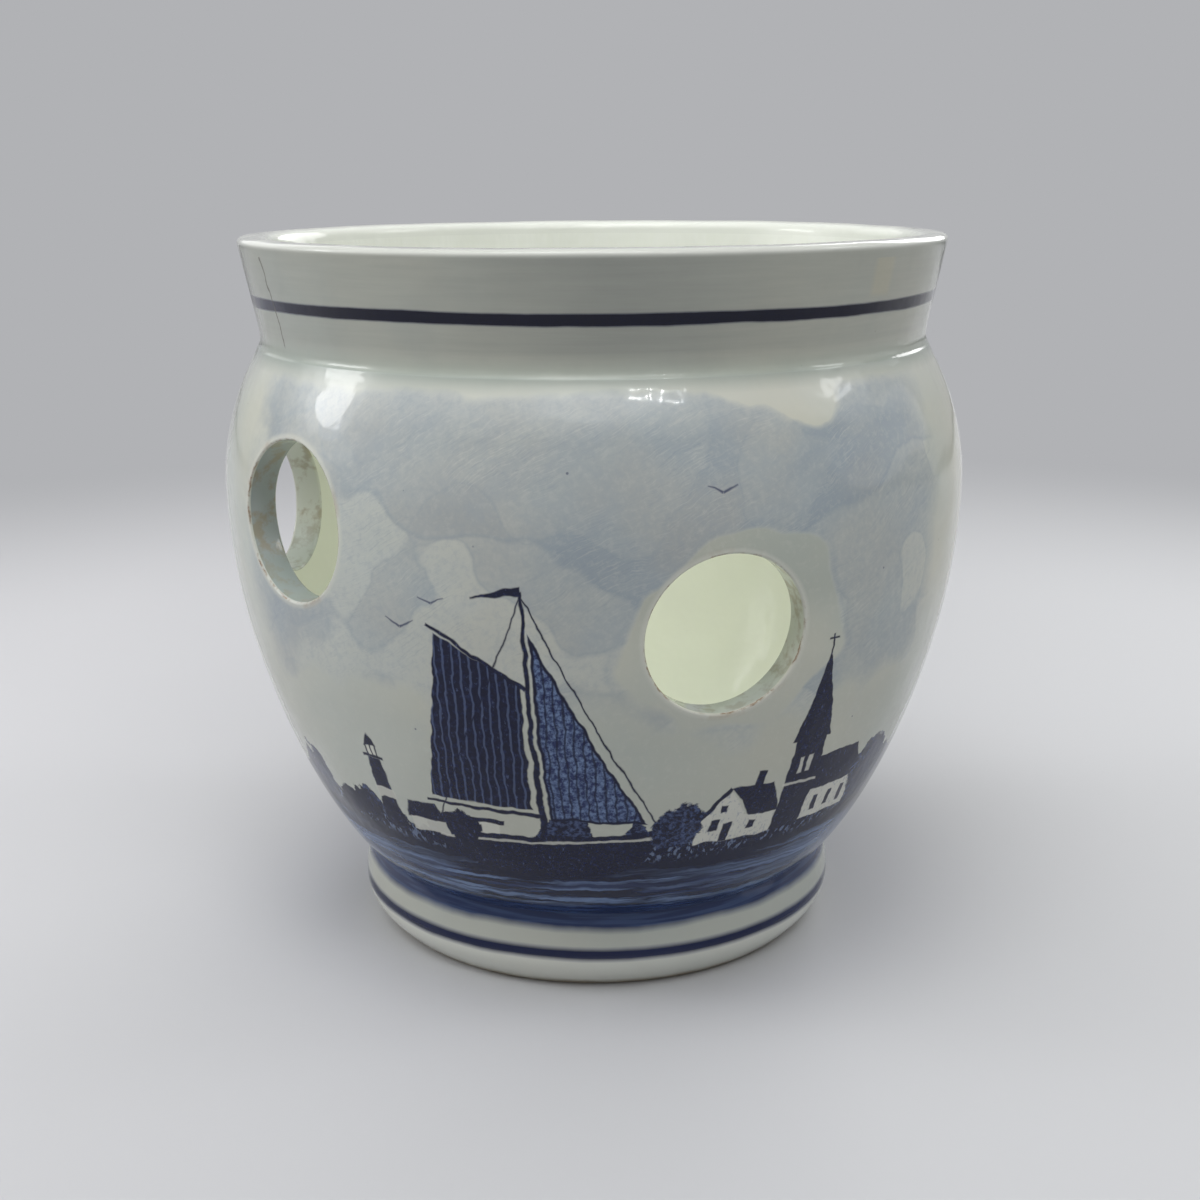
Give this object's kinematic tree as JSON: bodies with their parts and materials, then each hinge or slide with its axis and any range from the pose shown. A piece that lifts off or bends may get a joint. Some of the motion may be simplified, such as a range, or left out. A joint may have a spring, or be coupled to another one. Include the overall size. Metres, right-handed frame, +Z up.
{
  "type": "bulb pot",
  "caption": "Round footed pot of blue and white glazed earthenware, with planting holes through its belly and a flared collar.",
  "frame": {"origin": "centre of the foot ring's underside, on the pot's axis", "axes": "+Z up the pot's axis, -Y towards the front of the painted scene, +X to that view's right"},
  "size_m": [0.1248, 0.1258, 0.1195],
  "materials": {
    "painted_glaze": "clear gloss glaze over blue brushwork",
    "ivory_glaze": "clear gloss glaze over cream earthenware",
    "bare_foot": "bare fired clay, wiped free of glaze"
  },
  "bodies": {
    "root": {"foot_ring": "bare_foot", "base_disc": "ivory_glaze", "lower_belly": "painted_glaze", "pierced_belly": "painted_glaze", "shoulder": "painted_glaze", "collar": "ivory_glaze", "rim_lip": "ivory_glaze"}
  },
  "joints": []
}
